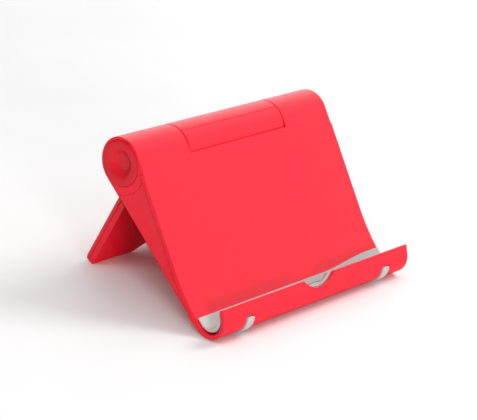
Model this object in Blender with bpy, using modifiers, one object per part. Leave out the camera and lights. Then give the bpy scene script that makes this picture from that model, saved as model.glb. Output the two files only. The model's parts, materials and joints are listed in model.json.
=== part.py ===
"""A folding tablet stand: a tapered front panel with a lined trough along its foot, and a clamshell leg
that swings on a friction hinge in the barrel along the panel's head.

World frame: metres, +X to the right of someone facing the stand, +Y to the back, +Z up. The origin is on
the table, in the middle of the stand's footprint. The rest pose stands at the working angle.

Panel frame (empty panel_frame, on the hinge axis): +X right, +Y to the panel's back, +Z up along the panel.
Leg frame (empty leg_frame, also on the hinge axis): +X right, +Y to the leg's rear, +Z up along the leg.
In both, a height below the hinge axis is called a drop, and a distance in front of it a reach.
"""

import math

import bmesh
import bpy
from mathutils import Matrix, Vector

MM = 0.001

# Panel
WIDTH = 104.0 * MM
BARREL_RADIUS = 9.6 * MM
TAPER = math.radians(16.9)
PLATE_WALL = 1.8 * MM
BEND_DROP = 41.6 * MM
BARREL_END_INSET = 0.4 * MM
SIDE_WALL_INSET = 0.8 * MM
SIDE_WALL = 1.8 * MM
FLANGE_DROP = 6.7 * MM
BOSS_RADIUS = 11.6 * MM
BOSS_THICKNESS = 1.6 * MM
CROWN_DEPTH = 0.7 * MM

# Trough and its lip
TROUGH_DROP = 62.0 * MM
TROUGH_REACH = 18.0 * MM
TROUGH_RADIUS = 7.3 * MM
TROUGH_WALL = 1.6 * MM
LIP_DROP = 60.4 * MM
LIP_LEAN = math.radians(16.0)
TROUGH_HEEL = math.radians(130.0)
BACK_CURVE_DROP = 48.0 * MM
COVER_END_DROP = 58.2 * MM
NOTCH_RADIUS = 11.2 * MM
NOTCH_DEPTH = 3.9 * MM

# Liner
LINER_BACK_WALL = 0.6 * MM
LINER_UP = 0.6 * MM
LINER_BACK = 0.7 * MM
LINER_DROP = 60.7 * MM
LINER_RISE = 2.5 * MM
LINER_GENTLE_RISE = 0.45 * MM
LINER_RISE_START = 16.0 * MM
LINER_RISE_END = 46.0 * MM
LINER_INSET = 0.8 * MM
FOOT_X = 38.3 * MM
FOOT_WIDTH = 3.7 * MM
FOOT_CORNER = 1.1 * MM
FOOT_PROUD = 0.5 * MM
FOOT_START = math.radians(31.0)
FOOT_END = math.radians(128.0)

# Leg
LEG_ANGLE = math.radians(59.5)
LEG_WIDTH = 78.0 * MM
LEG_LENGTH = 55.2 * MM
LEG_THICKNESS = 5.0 * MM
LEG_SHOULDER_DROP = 10.5 * MM
LEG_SKIN = 1.3 * MM
LEG_EDGE_RADIUS = 2.0 * MM
LEG_TOE_RADIUS = 0.8 * MM
ARCH_HALF_WIDTH = 20.0 * MM
ARCH_RISE = 4.0 * MM
RIB_PITCH = 12.0 * MM
RIB_THICKNESS = 1.6 * MM
KNUCKLE_WIDTH = 51.7 * MM
KNUCKLE_WALL = 1.8 * MM
KNUCKLE_END_WALL = 2.4 * MM
NECK_WIDTH = 51.0 * MM

# Hinge
WINDOW_WIDTH = 52.6 * MM
WINDOW_DROP = 3.6 * MM
WINDOW_CLEARANCE = 0.35 * MM
BULKHEAD = 2.6 * MM
CAP_RADIUS = 8.5 * MM
CAP_PLAY = 0.2 * MM
CAP_SEAT_DEPTH = 2.4 * MM
CAP_CREST = 0.5 * MM
CAP_EDGE = 0.2 * MM
CAP_DISH = 1.7 * MM
CAP_DISH_RADIUS = 5.9 * MM
CAP_FLOOR_RADIUS = 3.4 * MM
CAP_WALL = 1.2 * MM
CAP_SKIRT = 6.0 * MM
BARREL_WALL = 1.9 * MM
BOLT_RADIUS = 2.0 * MM
BOLT_HEAD = 4.0 * MM
BOLT_HEAD_HEIGHT = 2.2 * MM
BOLT_CHAMFER = 0.4 * MM
BOLT_END = 1.5 * MM
SLEEVE_RADIUS = 3.6 * MM
DISC_RADIUS = 7.0 * MM
DISC_THICKNESS = 0.5 * MM
WASHER_RADIUS = 5.0 * MM
WASHER_THICKNESS = 0.8 * MM
SPRING_WIRE = 0.4 * MM
SPRING_CONE = 0.5 * MM
NUT_ACROSS = 7.0 * MM
NUT_HEIGHT = 4.0 * MM

# Screws
SCREW_HEAD = 1.8 * MM
SCREW_HEAD_HEIGHT = 0.9 * MM
SCREW_THREAD = 0.8 * MM
SCREW_BOSS = 2.4 * MM
COVER_SCREW_LENGTH = 5.0 * MM
COVER_SINK = 0.4 * MM
LEG_SCREW_LENGTH = 2.5 * MM
LEG_SINK = 1.2 * MM
COVER_SCREWS = [(side * 45.0 * MM, drop) for side in (-1, 1) for drop in (14.0 * MM, 38.0 * MM)]
LEG_SCREW_PLACES = ((31.0 * MM, 15.5 * MM), (8.0 * MM, 45.0 * MM))
LEG_SCREWS = [(side * x, drop) for side in (-1, 1) for x, drop in LEG_SCREW_PLACES]

# Rear cover
COVER_WALL = 1.3 * MM
RECESS_HALF_WIDTH = 39.5 * MM
COVER_START_DROP = 8.6 * MM

GAP = 0.3 * MM
BARREL_SEGMENTS = 48
BORE_SEGMENTS = 32
SMALL_SEGMENTS = 24
SCREW_SEGMENTS = 14
MERGE = 0.01 * MM
SLIVER = 0.02 * MM
FAR = 200.0 * MM

RED = (0.80, 0.012, 0.035)
SILICONE = (0.62, 0.60, 0.59)
STEEL = (0.55, 0.55, 0.56)
NYLON = (0.82, 0.80, 0.74)


# ---------------------------------------------------------------- scene, materials and helpers


def clear_scene():
    for old in list(bpy.data.objects):
        bpy.data.objects.remove(old)


def new_collection(name):
    collection = bpy.data.collections.new(name)
    bpy.context.scene.collection.children.link(collection)
    return collection


def material(name, colour, roughness, metallic=0.0):
    made = bpy.data.materials.new(name)
    made.use_nodes = True
    shader = made.node_tree.nodes["Principled BSDF"]
    shader.inputs["Base Color"].default_value = (*colour, 1.0)
    shader.inputs["Roughness"].default_value = roughness
    shader.inputs["Metallic"].default_value = metallic
    return made


def polar(centre, radius, angle):
    """A point of a circle in the side view, as (drop, reach). Angle 0 is to the front and 90 is down."""
    return (centre[0] + radius * math.sin(angle), centre[1] + radius * math.cos(angle))


def arc(centre, radius, start, end, steps):
    return [polar(centre, radius, start + (end - start) * i / steps) for i in range(steps + 1)]


def bezier(first, control, last, steps):
    """Points of a quadratic curve, without its first point."""
    points = []
    for i in range(1, steps + 1):
        t = i / steps
        weights = ((1 - t) ** 2, 2 * t * (1 - t), t * t)
        points.append(tuple(sum(w * p[k] for w, p in zip(weights, (first, control, last))) for k in range(2)))
    return points


def add_object(name, mesh, collection, frame, location=(0, 0, 0), rotation=(0, 0, 0), finish=None):
    made = bpy.data.objects.new(name, mesh)
    collection.objects.link(made)
    made.parent = frame
    made.location = location
    made.rotation_euler = rotation
    if finish:
        made.data.materials.clear()
        made.data.materials.append(finish)
    return made


def as_tool(made):
    made.hide_render = True
    made.display_type = "WIRE"
    return made


def outline_mesh(name, points, thickness):
    """A closed flat outline in XY, thickened evenly about Z = 0, as a welded mesh."""
    curve = bpy.data.curves.new(name, "CURVE")
    curve.dimensions = "2D"
    curve.fill_mode = "BOTH"
    curve.extrude = thickness / 2
    spline = curve.splines.new("POLY")
    spline.points.add(len(points) - 1)
    for target, point in zip(spline.points, points):
        target.co = (point[0], point[1], 0.0, 1.0)
    spline.use_cyclic_u = True
    holder = bpy.data.objects.new(name, curve)
    bpy.context.scene.collection.objects.link(holder)
    evaluated = holder.evaluated_get(bpy.context.evaluated_depsgraph_get())
    mesh = bpy.data.meshes.new_from_object(evaluated)
    bpy.data.objects.remove(holder)
    shape = bmesh.new()
    shape.from_mesh(mesh)
    bmesh.ops.remove_doubles(shape, verts=shape.verts, dist=MERGE)
    bmesh.ops.recalc_face_normals(shape, faces=shape.faces)
    shape.to_mesh(mesh)
    shape.free()
    return mesh


# A mesh's XY outline turned into the side view: X becomes Y, Y becomes Z and the thickness runs along X
SIDE_VIEW = Matrix(((0, 0, 1, 0), (1, 0, 0, 0), (0, 1, 0, 0), (0, 0, 0, 1)))
# A mesh's XY outline turned into the front view: Y becomes Z and the thickness runs along Y
FRONT_VIEW = Matrix(((1, 0, 0, 0), (0, 0, -1, 0), (0, 1, 0, 0), (0, 0, 0, 1)))


def side_outline(name, points, left, right, collection, frame, finish=None):
    """A side-view outline of (drop, reach) points, running from x = left to x = right."""
    mesh = outline_mesh(name, [(-reach, -drop) for drop, reach in points], right - left)
    mesh.transform(SIDE_VIEW)
    return add_object(name, mesh, collection, frame, ((left + right) / 2, 0, 0), finish=finish)


def front_outline(name, points, front, back, collection, frame, finish=None):
    """A front-view outline of (x, drop) points, running from y = front to y = back."""
    mesh = outline_mesh(name, [(x, -drop) for x, drop in points], back - front)
    mesh.transform(FRONT_VIEW)
    return add_object(name, mesh, collection, frame, (0, (front + back) / 2, 0), finish=finish)


def box(name, low, high, collection, frame):
    shape = bmesh.new()
    bmesh.ops.create_cube(shape, size=1.0)
    size = Vector(high) - Vector(low)
    bmesh.ops.scale(shape, vec=size, verts=shape.verts)
    mesh = bpy.data.meshes.new(name)
    shape.to_mesh(mesh)
    shape.free()
    return add_object(name, mesh, collection, frame, (Vector(low) + Vector(high)) / 2)


def rod_mesh(name, radius, length, segments, top_radius=None):
    shape = bmesh.new()
    bmesh.ops.create_cone(
        shape,
        cap_ends=True,
        segments=segments,
        radius1=radius,
        radius2=radius if top_radius is None else top_radius,
        depth=length,
    )
    mesh = bpy.data.meshes.new(name)
    shape.to_mesh(mesh)
    shape.free()
    return mesh


def x_rod(name, radius, left, right, collection, frame, segments=SMALL_SEGMENTS):
    """A round bar along X, on the hinge axis."""
    mesh = rod_mesh(name, radius, right - left, segments)
    mesh.transform(Matrix.Rotation(math.pi / 2, 4, "Y"))
    return add_object(name, mesh, collection, frame, ((left + right) / 2, 0, 0))


def turned(name, profile, collection, frame, location, rotation, finish, segments=SMALL_SEGMENTS):
    """A turned shape about its own Z from (radius, height) points that run from top to bottom."""
    shape = bmesh.new()
    corners = [shape.verts.new((radius, 0.0, height)) for radius, height in profile]
    for first, second in zip(corners, corners[1:]):
        shape.edges.new((first, second))
    if profile[0][0] > 0:
        shape.edges.new((corners[-1], corners[0]))
    mesh = bpy.data.meshes.new(name)
    shape.to_mesh(mesh)
    shape.free()
    made = add_object(name, mesh, collection, frame, location, rotation, finish)
    screw = made.modifiers.new("turn", "SCREW")
    screw.axis = "Z"
    screw.angle = 2 * math.pi
    screw.steps = segments
    screw.render_steps = segments
    screw.use_merge_vertices = True
    screw.merge_threshold = MERGE
    screw.use_smooth_shade = False
    return made


def combine(target, tool, operation):
    """Adds, cuts or keeps what target shares with tool, and hides the tool."""
    modifier = target.modifiers.new(tool.name, "BOOLEAN")
    modifier.operation = operation
    modifier.solver = "EXACT"
    modifier.object = as_tool(tool)
    return target


def add(target, *tools):
    for tool in tools:
        combine(target, tool, "UNION")


def cut(target, *tools):
    for tool in tools:
        combine(target, tool, "DIFFERENCE")


def smooth(made, angle=math.radians(30)):
    made.data.shade_smooth()
    made.data.set_sharp_from_angle(angle=angle)


# ---------------------------------------------------------------- the side view that the pieces share


TROUGH = (TROUGH_DROP, TROUGH_REACH)
BORE = TROUGH_RADIUS - TROUGH_WALL
AXIS = (0.0, 0.0)
HALF_WIDTH = WIDTH / 2

# The rounded corners of the leg's foot in the leg frame: the toe stands on the table
LEG_TOE = (LEG_LENGTH - LEG_TOE_RADIUS, LEG_THICKNESS / 2 - LEG_TOE_RADIUS)
LEG_HEEL = (LEG_LENGTH - LEG_EDGE_RADIUS, LEG_EDGE_RADIUS - LEG_THICKNESS / 2)

# The front face's bend is the arc that is tangent both to its flat part and to the trough's bore
BEND_RUN = TROUGH_DROP - BEND_DROP
BEND_RISE = TROUGH_REACH - BARREL_RADIUS
BEND_RADIUS = (BEND_RUN**2 + BEND_RISE**2 - BORE**2) / (2 * (BEND_RISE - BORE))

# The liner's own bore lies a little up and back in the trough's, so its wall is thickest under the lip
LINER_CENTRE = (TROUGH_DROP - LINER_UP, TROUGH_REACH - LINER_BACK)


def front_reach(drop, offset=0.0):
    """How far the panel's front face stands in front of the hinge axis: flat, then bending forward."""
    if drop <= BEND_DROP:
        return BARREL_RADIUS + offset
    return BARREL_RADIUS + BEND_RADIUS - math.sqrt((BEND_RADIUS - offset) ** 2 - (drop - BEND_DROP) ** 2)


def back_reach(drop):
    """The reach of the panel's straight back face, which is tangent to the barrel."""
    return -BARREL_RADIUS / math.cos(TAPER) + drop * math.tan(TAPER)


def front_path(start, end, offset, steps):
    """Points down the front face, moved forward by offset."""
    drops = [start + (end - start) * i / steps for i in range(steps + 1)]
    return [(drop, front_reach(drop, offset)) for drop in drops]


def pocket_turn(centre, offset):
    """Radius of the arc about centre that continues the offset front face, and the angle where they meet."""
    run, rise = centre[0] - BEND_DROP, BARREL_RADIUS + BEND_RADIUS - centre[1]
    return BEND_RADIUS - offset - math.hypot(run, rise), math.pi - math.atan2(run, rise)


def pocket_path(start, offset, steps, turn_steps, centre=TROUGH):
    """Down the offset front face from a drop, and around the trough to the foot of its lip."""
    radius, join = pocket_turn(centre, offset)
    end = centre[0] + radius * math.sin(join)
    return front_path(start, end, offset, steps)[:-1] + arc(centre, radius, join, LIP_LEAN, turn_steps)


def heel_path(steps):
    """The panel's lower back edge, from the end of its straight part to the trough's underside."""
    first = (BACK_CURVE_DROP, back_reach(BACK_CURVE_DROP))
    last = polar(TROUGH, TROUGH_RADIUS, TROUGH_HEEL)
    tangent = 1 / math.tan(math.pi - TROUGH_HEEL)
    across = math.tan(TAPER)
    drop = (last[1] - first[1] + across * first[0] - last[0] / tangent) / (across - 1 / tangent)
    control = (drop, first[1] + across * (drop - first[0]))
    return [first] + bezier(first, control, last, steps)


def lip_point(radius, drop, centre=TROUGH):
    """Where the lip's straight face, tangent to the circle of that radius, passes the given drop."""
    foot = polar(centre, radius, LIP_LEAN)
    return (drop, foot[1] + (foot[0] - drop) * math.tan(LIP_LEAN))


# ---------------------------------------------------------------- panel


def shell_skin():
    """Barrel, front plate, trough and lip as one bent section, from the barrel's front over its top."""
    meeting = math.acos((BARREL_RADIUS - PLATE_WALL) / BARREL_RADIUS)
    barrel = arc(AXIS, BARREL_RADIUS, meeting, 2 * math.pi, BARREL_SEGMENTS)
    pocket = pocket_path(BEND_DROP, 0.0, 7, 14)
    lip = [lip_point(BORE, LIP_DROP), lip_point(TROUGH_RADIUS, LIP_DROP)]
    underside = arc(TROUGH, TROUGH_RADIUS, LIP_LEAN, TROUGH_HEEL, 12)
    top = COVER_END_DROP + GAP
    heel = [point for point in reversed(heel_path(8)) if point[0] > top + GAP][1:]
    heel.append((top, back_reach(top) + 0.35 * MM))
    inner = front_path(top, BEND_DROP, -PLATE_WALL, 5)
    return barrel + pocket + lip + underside + heel + inner


def side_wall(name, side, collection, frame):
    """The flat wall that closes one side of the panel, buried half-way into the skin in front."""
    _, join = pocket_turn(TROUGH, 0.0)
    back = [(BARREL_RADIUS * math.sin(TAPER), -BARREL_RADIUS * math.cos(TAPER))] + heel_path(8)
    buried = PLATE_WALL / 2
    turn_in = arc(TROUGH, BORE + buried, TROUGH_HEEL, join, 3)
    front = front_path(TROUGH_DROP, BEND_DROP, -buried, 7) + [(2.0 * MM, BARREL_RADIUS - buried)]
    crown = arc(AXIS, BARREL_RADIUS - CROWN_DEPTH, math.radians(12), TAPER - math.pi, 24)
    outer = HALF_WIDTH - SIDE_WALL_INSET
    ends = sorted((side * outer, side * (outer - SIDE_WALL)))
    return side_outline(name, back + turn_in + front + crown, *ends, collection, frame)


def end_boss(name, side, collection, frame):
    """The round pad around the barrel's end, which stands proud of the side wall below it."""
    inset = 0.1 * MM
    front_turn = math.asin((BARREL_RADIUS - PLATE_WALL / 2) / BOSS_RADIUS)
    start = math.pi / 2 - front_turn
    back_turn = math.acos((BARREL_RADIUS - inset) / BOSS_RADIUS)
    end = math.pi - TAPER - back_turn
    rim = arc(AXIS, BOSS_RADIUS, start, end, 16)
    crown = arc(AXIS, BARREL_RADIUS - CROWN_DEPTH + inset, math.pi - TAPER, 2 * math.pi + math.radians(10), 24)
    outer = HALF_WIDTH - BARREL_END_INSET
    ends = sorted((side * outer, side * (outer - BOSS_THICKNESS)))
    return side_outline(name, rim + crown, *ends, collection, frame)


def back_face_place(x, drop, depth):
    """Location and rotation of something square to the panel's back face, depth under it, facing out."""
    reach = back_reach(drop)
    out = Vector((0, math.cos(TAPER), -math.sin(TAPER)))
    return Vector((x, -reach, -drop)) - out * depth, (-(math.pi / 2 + TAPER), 0, 0)


def foot_sector(name, x, margin, inner, outer, collection, frame):
    """A curved block through the trough's wall: a liner foot, or its slot when margin is the gap around it."""
    half_width, corner = FOOT_WIDTH / 2 + margin, FOOT_CORNER + margin
    early, late = FOOT_START - math.radians(45), FOOT_END + margin / TROUGH_RADIUS
    path = arc(TROUGH, inner, early, late, 14) + arc(TROUGH, outer, late, early, 14)
    block = side_outline(name, path, x - half_width, x + half_width, collection, frame)
    shoulder, wide = half_width + SLIVER - corner, 2 * half_width
    turns = [math.pi / 2 * i / 6 for i in range(7)]
    keep = [(shoulder + corner * math.cos(t), margin - corner + corner * math.sin(t)) for t in turns]
    keep += [(-shoulder - corner * math.sin(t), margin - corner + corner * math.cos(t)) for t in turns]
    keep += [(-wide, margin - corner), (-wide, -FAR / 4), (wide, -FAR / 4), (wide, margin - corner)]
    drop, reach = polar(TROUGH, (inner + outer) / 2, FOOT_START)
    mesh = outline_mesh(f"{name}_end", keep, FAR / 4)
    turn = (math.pi / 2 + FOOT_START, 0, 0)
    keep_tool = add_object(mesh.name, mesh, collection, frame, (x, -reach, -drop), turn)
    return combine(block, keep_tool, "INTERSECT")


def make_front_shell(parts, tools, frame, red):
    shell = side_outline("front_shell", shell_skin(), -HALF_WIDTH, HALF_WIDTH, parts, frame, red)
    reach = BARREL_RADIUS + 5 * MM
    barrel_end = HALF_WIDTH - BARREL_END_INSET
    for label, side in (("left", -1), ("right", 1)):
        ends = sorted((side * barrel_end, side * FAR))
        low = (ends[0], -reach, -FLANGE_DROP)
        cut(shell, box(f"{label}_end_trim", low, (ends[1], reach, reach), tools, frame))
        low = (ends[0], PLATE_WALL - BARREL_RADIUS - SLIVER, -reach)
        cut(shell, box(f"{label}_barrel_trim", low, (ends[1], reach, reach - 1 * MM), tools, frame))
        add(shell, side_wall(f"{label}_side_wall", side, tools, frame))
        add(shell, end_boss(f"{label}_end_boss", side, tools, frame))
        for number, (x, drop) in enumerate(COVER_SCREWS):
            if x * side > 0:
                add(shell, cover_boss(f"{label}_boss_{number}", x, drop, tools, frame))
    window = WINDOW_WIDTH / 2
    clear = BARREL_RADIUS + WINDOW_CLEARANCE
    cut(shell, x_rod("window", clear, -window, window, tools, frame, BARREL_SEGMENTS))
    low = (-window, -BARREL_RADIUS - 2 * MM, -WINDOW_DROP)
    cut(shell, box("window_sill", low, (window, -BARREL_RADIUS / 2, 0), tools, frame))
    for label, side in (("left", -1), ("right", 1)):
        inner, seat = side * (window + BULKHEAD), side * (barrel_end - CAP_SEAT_DEPTH)
        bore = sorted((inner, side * FAR))
        cut(shell, x_rod(f"{label}_bore", BARREL_RADIUS - BARREL_WALL, *bore, tools, frame, BORE_SEGMENTS))
        wide = sorted((seat, side * FAR))
        cut(shell, x_rod(f"{label}_cap_seat", CAP_RADIUS + CAP_PLAY, *wide, tools, frame, BORE_SEGMENTS))
    cut(shell, x_rod("bolt_hole", BOLT_RADIUS + GAP, -FAR / 4, FAR / 4, tools, frame))
    cut(shell, notch("lip_notch", NOTCH_RADIUS, tools, frame))
    inner, outer = BORE - 1 * MM, TROUGH_RADIUS + 2 * MM
    for label, side in (("left", -1), ("right", 1)):
        cut(shell, foot_sector(f"{label}_slot", side * FOOT_X, GAP, inner, outer, tools, frame))
    for number, (x, drop) in enumerate(COVER_SCREWS):
        place, turn = back_face_place(x, drop, COVER_SCREW_LENGTH / 2 + COVER_SINK)
        pilot = rod_mesh(f"pilot_{number}", SCREW_THREAD + GAP, COVER_SCREW_LENGTH, 12)
        cut(shell, add_object(pilot.name, pilot, tools, frame, place, turn))
    smooth(shell)
    return shell


def cover_boss(name, x, drop, collection, frame):
    """A screw boss from the back of the front plate to just under the rear cover."""
    top = COVER_WALL + GAP
    plate = (BARREL_RADIUS - PLATE_WALL / 2 - back_reach(drop)) * math.cos(TAPER)
    length = plate - top
    place, turn = back_face_place(x, drop, top + length / 2)
    return add_object(name, rod_mesh(name, SCREW_BOSS, length, 16), collection, frame, place, turn)


def notch(name, radius, collection, frame):
    """The round bite out of the lip's middle, where a cable passes."""
    drop = LIP_DROP + NOTCH_DEPTH - NOTCH_RADIUS
    mesh = rod_mesh(name, radius, 8 * MM, BARREL_SEGMENTS)
    place = (0, -(TROUGH_REACH + 7.5 * MM), -drop)
    return add_object(name, mesh, collection, frame, place, (math.pi / 2, 0, 0))


def make_rear_cover(parts, tools, frame, red):
    """The pan behind the front plate: a floor behind the plate, two box-section rails beside the leg."""
    front_gap = PLATE_WALL + GAP
    start, end = COVER_START_DROP, COVER_END_DROP
    bend = BEND_DROP
    behind = -front_gap - COVER_WALL
    floor_front = [(start, front_reach(start, -front_gap))] + front_path(bend, end, -front_gap, 5)
    floor_back = front_path(end, bend, behind, 5) + [(start, front_reach(start, behind))]
    rail = RECESS_HALF_WIDTH + COVER_WALL
    rail_end = HALF_WIDTH - SIDE_WALL_INSET - SIDE_WALL - GAP
    cover = side_outline("rear_cover", floor_front + floor_back, -rail, rail, parts, frame, red)
    clear = BARREL_RADIUS + GAP
    top = math.pi - TAPER - math.acos(BARREL_RADIUS / clear) - math.radians(14)
    crown = arc(AXIS, clear, top, math.radians(62), 8)
    back = [point for point in heel_path(8) if point[0] < end]
    back.append((end, back_reach(end) + 0.32 * MM))
    crest = (crown[0][0], back_reach(crown[0][0]))
    for label, side in (("left", -1), ("right", 1)):
        inner = sorted((side * RECESS_HALF_WIDTH, side * rail))
        buried = -front_gap - COVER_WALL / 2
        web = [(start + 0.1 * MM, front_reach(start, buried))] + list(reversed(crown)) + [crest] + back
        web += front_path(end - 0.1 * MM, bend, buried, 5)
        add(cover, side_outline(f"{label}_web", web, *inner, tools, frame))
        strip = [(drop, reach + COVER_WALL / math.cos(TAPER)) for drop, reach in reversed(back)]
        outline = [crest] + back + strip
        outline += [(clear * 0.9, back_reach(clear * 0.9) + COVER_WALL / math.cos(TAPER)), crown[0]]
        wide = sorted((side * (RECESS_HALF_WIDTH + 0.5 * MM), side * rail_end))
        add(cover, side_outline(f"{label}_rail_back", outline, *wide, tools, frame))
    for number, (x, drop) in enumerate(COVER_SCREWS):
        for label, radius, depth, length in (
            ("hole", SCREW_THREAD + GAP, COVER_WALL, 6 * MM),
            ("sink", SCREW_HEAD + GAP, COVER_SINK - 1.2 * MM, 2.4 * MM),
        ):
            place, turn = back_face_place(x, drop, depth)
            mesh = rod_mesh(f"cover_{label}_{number}", radius, length, 16)
            cut(cover, add_object(mesh.name, mesh, tools, frame, place, turn))
    smooth(cover)
    return cover


def make_liner(parts, tools, frame, silicone):
    """The soft lining of the trough, with two feet moulded on that stand out under the shell."""
    outer = BORE - GAP
    inner, _ = pocket_turn(LINER_CENTRE, GAP + LINER_BACK_WALL)
    top = LINER_DROP - LINER_RISE
    outline = pocket_path(top - 2 * MM, GAP, 3, 12) + [lip_point(outer, LIP_DROP)]
    outline += [lip_point(inner, LIP_DROP, LINER_CENTRE)]
    outline += list(reversed(pocket_path(top - 2 * MM, GAP + LINER_BACK_WALL, 3, 11, LINER_CENTRE)))
    end = HALF_WIDTH - LINER_INSET
    liner = side_outline("cradle_liner", outline, -end, end, parts, frame, silicone)
    ease = [(i / 8, (3 - 2 * i / 8) * (i / 8) ** 2) for i in range(9)]
    run = LINER_RISE_END - LINER_RISE_START
    gentle_top = LINER_DROP - LINER_GENTLE_RISE
    edge = [(LINER_RISE_START + run * t, gentle_top - (gentle_top - top) * rise) for t, rise in ease]
    above = top - 5 * MM
    trim = [(-FAR / 2, LINER_DROP), (-end, LINER_DROP)] + edge
    trim += [(FAR / 2, top), (FAR / 2, above), (-FAR / 2, above)]
    reach = TROUGH_REACH - 2.5 * MM
    cut(liner, front_outline("liner_top_edge", trim, -reach, -BARREL_RADIUS, tools, frame))
    cut(liner, notch("liner_notch", NOTCH_RADIUS - 1.0 * MM, tools, frame))
    for label, side in (("left", -1), ("right", 1)):
        proud = TROUGH_RADIUS + FOOT_PROUD
        add(liner, foot_sector(f"{label}_foot", side * FOOT_X, 0.0, outer - 0.5 * MM, proud, tools, frame))
    smooth(liner)
    return liner


def make_end_cap(name, side, parts, frame, red):
    """A dished cap with a rounded ring, on a short skirt that pushes into the barrel."""
    plug = BARREL_RADIUS - BARREL_WALL - GAP
    inside, back = plug - CAP_WALL, -CAP_WALL - CAP_DISH
    lip, crest = CAP_RADIUS - 0.8 * MM, (CAP_RADIUS + CAP_DISH_RADIUS) / 2
    middle = (CAP_FLOOR_RADIUS + CAP_DISH_RADIUS) / 2
    face = [(0.0, -CAP_DISH), (CAP_FLOOR_RADIUS, -CAP_DISH), (middle, -CAP_DISH * 0.6)]
    face += [(CAP_DISH_RADIUS, CAP_EDGE), (crest, CAP_CREST), (lip, CAP_EDGE), (CAP_RADIUS, -CAP_EDGE)]
    body = [(CAP_RADIUS, -CAP_SEAT_DEPTH + GAP), (plug, -CAP_SEAT_DEPTH + GAP), (plug, -CAP_SKIRT)]
    body += [(inside, -CAP_SKIRT), (inside, back), (0.0, back)]
    place = (side * (HALF_WIDTH - BARREL_END_INSET), 0, 0)
    return turned(name, face + body, parts, frame, place, (0, side * math.pi / 2, 0), red, BORE_SEGMENTS)


def make_screw(name, length, place, parts, frame, steel):
    """A pan-head screw. Its place is the underside of its head, turned to face out."""
    tip = SCREW_THREAD * 0.5
    profile = [(0.0, SCREW_HEAD_HEIGHT), (SCREW_HEAD * 0.75, SCREW_HEAD_HEIGHT)]
    profile += [(SCREW_HEAD, SCREW_HEAD_HEIGHT * 0.5), (SCREW_HEAD, 0.0), (SCREW_THREAD, 0.0)]
    profile += [(SCREW_THREAD, tip - length), (tip, -length), (0.0, -length)]
    return turned(name, profile, parts, frame, *place, steel, SCREW_SEGMENTS)


def make_cover_screws(parts, frame, steel):
    for number, (x, drop) in enumerate(COVER_SCREWS, 1):
        place = back_face_place(x, drop, COVER_SINK - GAP)
        make_screw(f"cover_screw_{number}", COVER_SCREW_LENGTH, place, parts, frame, steel)


# ---------------------------------------------------------------- leg


def leg_blank(name, collection, frame):
    """The whole leg as one solid: a plate with a rounded foot, and the knuckle cylinder at its head."""
    half = LEG_THICKNESS / 2
    toe = arc(LEG_TOE, LEG_TOE_RADIUS, 0.0, math.pi / 2, 4)
    heel = arc(LEG_HEEL, LEG_EDGE_RADIUS, math.pi / 2, math.pi, 6)
    outline = [(0.0, half)] + toe + heel + [(0.0, -half)]
    blank = side_outline(name, outline, -LEG_WIDTH / 2, LEG_WIDTH / 2, collection, frame)
    radius = LEG_EDGE_RADIUS
    right, rear = LEG_WIDTH / 2 - radius, half - radius
    section = [(-LEG_WIDTH / 2, -half), (LEG_WIDTH / 2, -half)]
    turns = [math.radians(15 * i) for i in range(7)]
    section += [(right + radius * math.cos(t), rear + radius * math.sin(t)) for t in turns]
    section += [(-right - radius * math.sin(t), rear + radius * math.cos(t)) for t in turns]
    mesh = outline_mesh(f"{name}_section", section, 2 * FAR)
    combine(blank, add_object(mesh.name, mesh, collection, frame), "INTERSECT")
    neck = NECK_WIDTH / 2
    for label, side in (("left", -1), ("right", 1)):
        ends = sorted((side * neck, side * FAR))
        low = (ends[0], -FAR, -LEG_SHOULDER_DROP)
        cut(blank, box(f"{name}_{label}_shoulder", low, (ends[1], FAR, FAR), collection, frame))
    ease = [(i / 8, (3 - 2 * i / 8) * (i / 8) ** 2) for i in range(9)]
    run = ARCH_HALF_WIDTH * 0.5
    rise = [(-ARCH_HALF_WIDTH + run * t, LEG_LENGTH - ARCH_RISE * up) for t, up in ease]
    fall = [(-x, drop) for x, drop in reversed(rise)]
    below = LEG_LENGTH + 5 * MM
    arch = rise + fall + [(ARCH_HALF_WIDTH, below), (-ARCH_HALF_WIDTH, below)]
    cut(blank, front_outline(f"{name}_arch", arch, -FAR, FAR, collection, frame))
    knuckle = KNUCKLE_WIDTH / 2
    add(blank, x_rod(f"{name}_knuckle", BARREL_RADIUS, -knuckle, knuckle, collection, frame, BARREL_SEGMENTS))
    return blank


def leg_cavity(name, collection, frame):
    """The space between the leg's two halves, with the screw bosses and the knuckle's ribs left standing."""
    half = LEG_THICKNESS / 2 - LEG_SKIN
    side = LEG_WIDTH / 2 - 1.8 * MM
    neck = KNUCKLE_WIDTH / 2 - KNUCKLE_END_WALL
    top, bottom = LEG_SHOULDER_DROP + 1.8 * MM, LEG_LENGTH - ARCH_RISE - 2.6 * MM
    outline = [(-side, bottom), (-side, top), (-neck, top), (-neck, 4 * MM)]
    outline += [(-x, drop) for x, drop in reversed(outline)]
    cavity = front_outline(name, outline, -half, half, collection, frame)
    for number, (x, drop) in enumerate(LEG_SCREWS):
        mesh = rod_mesh(f"{name}_boss_{number}", SCREW_BOSS, 2 * LEG_THICKNESS, 16)
        cut(cavity, add_object(mesh.name, mesh, collection, frame, (x, 0, -drop), (math.pi / 2, 0, 0)))
    for number, x in enumerate((-RIB_PITCH, 0.0, RIB_PITCH)):
        low = (x - RIB_THICKNESS / 2, -FAR, -LEG_LENGTH + 9 * MM)
        high = (x + RIB_THICKNESS / 2, FAR, -14 * MM)
        cut(cavity, box(f"{name}_rib_{number}", low, high, collection, frame))
    return cavity


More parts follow.
